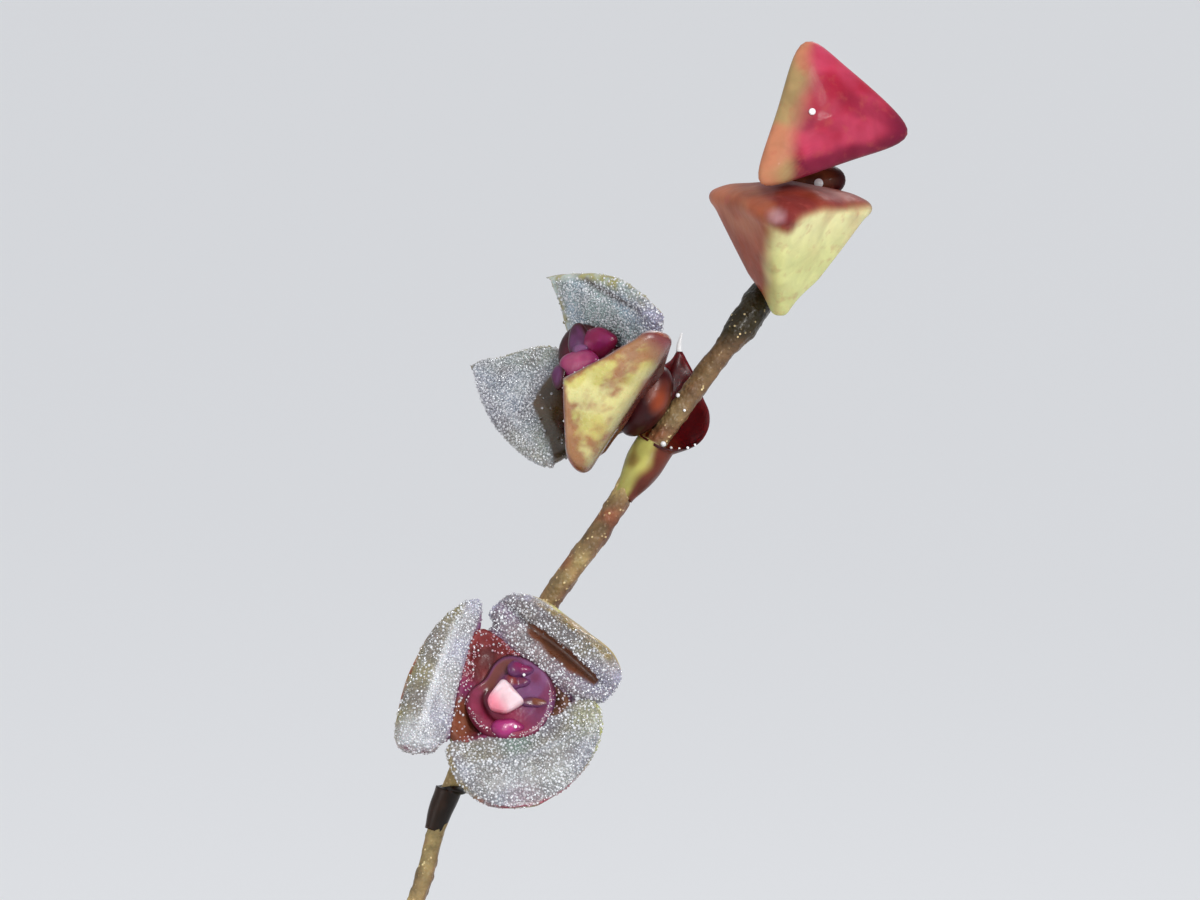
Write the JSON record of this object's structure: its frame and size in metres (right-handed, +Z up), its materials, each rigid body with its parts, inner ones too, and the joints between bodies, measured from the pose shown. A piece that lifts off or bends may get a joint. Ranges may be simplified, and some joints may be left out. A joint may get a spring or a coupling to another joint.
{
  "type": "miniature orchid in a slatted wooden basket",
  "caption": "Miniature tufted orchid with three-sided flowers and buds on thin spikes, rooted in moss in an open square basket of stacked wooden slats.",
  "frame": {"origin": "on the surface that the basket stands on, at the middle of the lower face of its middle floor slat", "axes": "+Z up, +X to the right along the floor slats, -Y towards the front, which the tallest flower spike faces"},
  "size_m": [0.0912, 0.088, 0.1434],
  "materials": {
    "slats": "weathered, unvarnished",
    "pins": "dull galvanised wire",
    "moss": "matte, damp",
    "roots": "matte, papery",
    "leaf": "leathery, satin",
    "stem": "warty, half gloss",
    "sepal": "silvery, covered with glassy beads",
    "flower_centre": "wet, glossy",
    "bud_yellow": "satin",
    "bud_red": "satin"
  },
  "bodies": {
    "root": {"slat_1_a": "slats", "slat_1_b": "slats", "slat_2_a": "slats", "slat_2_b": "slats", "slat_3_a": "slats", "slat_3_b": "slats", "slat_4_a": "slats", "slat_4_b": "slats", "slat_5_a": "slats", "slat_5_b": "slats", "slat_6_a": "slats", "slat_6_b": "slats", "floor_slat_1": "slats", "floor_slat_2": "slats", "floor_slat_3": "slats", "pin_1": "pins", "pin_2": "pins", "pin_3": "pins", "pin_4": "pins", "moss": "moss", "rhizome": "roots", "shoot_1_1": "leaf", "shoot_1_2": "leaf", "shoot_1_3": "leaf", "shoot_1_4": "leaf", "shoot_2_1": "leaf", "shoot_2_2": "leaf", "shoot_2_3": "leaf", "shoot_2_4": "leaf", "shoot_3_1": "leaf", "shoot_3_2": "leaf", "shoot_3_3": "leaf", "shoot_3_4": "leaf", "tall_spike_stem": "stem", "flower_front_sepals": "sepal", "flower_front_centre": "flower_centre", "flower_side_sepals": "sepal", "flower_side_centre": "flower_centre", "bud_lower": "bud_yellow", "bud_upper": "bud_red", "low_spike_1": "sepal", "low_spike_2": "sepal", "low_spike_3": "sepal", "low_spike_4": "sepal"}
  },
  "joints": []
}
